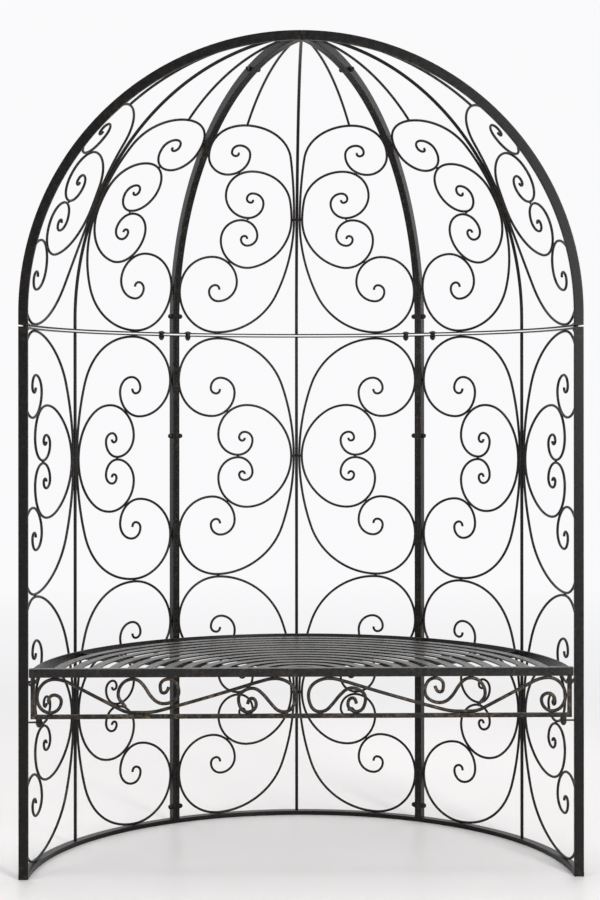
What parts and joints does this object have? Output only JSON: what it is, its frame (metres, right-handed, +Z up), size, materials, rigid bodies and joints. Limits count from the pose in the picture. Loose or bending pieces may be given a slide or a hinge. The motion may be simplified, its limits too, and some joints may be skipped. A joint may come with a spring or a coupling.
{
  "type": "garden arbor bench",
  "caption": "Half-round scrolled metal arbor under a ribbed quarter dome, with a half-moon slatted bench hung between its front posts.",
  "frame": {"origin": "on the floor, at the middle of the footprint's box", "axes": "+Z up, -Y out of the open front, +X to the right as seen from the front"},
  "size_m": [1.45, 0.7254, 2.174],
  "materials": {
    "frame_coat": "satin black powder coat with faint orange peel",
    "scroll_coat": "satin black powder coat, rubbed to dark bronze on the crowns",
    "seat_coat": "satin black powder coat, smooth flats with a soft sheen",
    "fastener_coat": "black coated steel bolts, slightly worn edges"
  },
  "bodies": {
    "root": {"left_wall_right_post": "frame_coat", "left_wall_left_post": "frame_coat", "left_wall_bottom_rail": "frame_coat", "left_wall_top_rail": "frame_coat", "left_wall_centre_rod": "frame_coat", "left_wall_large_scrolls": "scroll_coat", "left_wall_small_scrolls": "scroll_coat", "back_wall_right_post": "frame_coat", "back_wall_left_post": "frame_coat", "back_wall_bottom_rail": "frame_coat", "back_wall_top_rail": "frame_coat", "back_wall_centre_rod": "frame_coat", "back_wall_large_scrolls": "scroll_coat", "back_wall_small_scrolls": "scroll_coat", "right_wall_right_post": "frame_coat", "right_wall_left_post": "frame_coat", "right_wall_bottom_rail": "frame_coat", "right_wall_top_rail": "frame_coat", "right_wall_centre_rod": "frame_coat", "right_wall_large_scrolls": "scroll_coat", "right_wall_small_scrolls": "scroll_coat", "left_dome_right_rib": "frame_coat", "left_dome_left_rib": "frame_coat", "left_dome_ring_rail": "frame_coat", "left_dome_centre_rod": "frame_coat", "left_dome_side_rods": "scroll_coat", "left_dome_large_scrolls": "scroll_coat", "left_dome_small_scrolls": "scroll_coat", "back_dome_right_rib": "frame_coat", "back_dome_left_rib": "frame_coat", "back_dome_ring_rail": "frame_coat", "back_dome_centre_rod": "frame_coat", "back_dome_side_rods": "scroll_coat", "back_dome_large_scrolls": "scroll_coat", "back_dome_small_scrolls": "scroll_coat", "right_dome_right_rib": "frame_coat", "right_dome_left_rib": "frame_coat", "right_dome_ring_rail": "frame_coat", "right_dome_centre_rod": "frame_coat", "right_dome_side_rods": "scroll_coat", "right_dome_large_scrolls": "scroll_coat", "right_dome_small_scrolls": "scroll_coat", "seat_front_beam": "seat_coat", "seat_rim": "seat_coat", "seat_slats": "seat_coat", "seat_bearers": "seat_coat", "apron_lower_rail": "frame_coat", "apron_end_posts": "frame_coat", "seat_front_tabs": "frame_coat", "seat_back_ledges": "frame_coat", "apron_long_scrolls": "scroll_coat", "apron_short_scrolls": "scroll_coat", "joint_bolts": "fastener_coat", "joint_nuts": "fastener_coat", "ring_bolts": "fastener_coat", "ring_spacers": "fastener_coat", "ring_nuts": "fastener_coat", "hanger_bolts": "fastener_coat", "hanger_nuts": "fastener_coat", "seat_side_screws": "fastener_coat"}
  },
  "joints": []
}
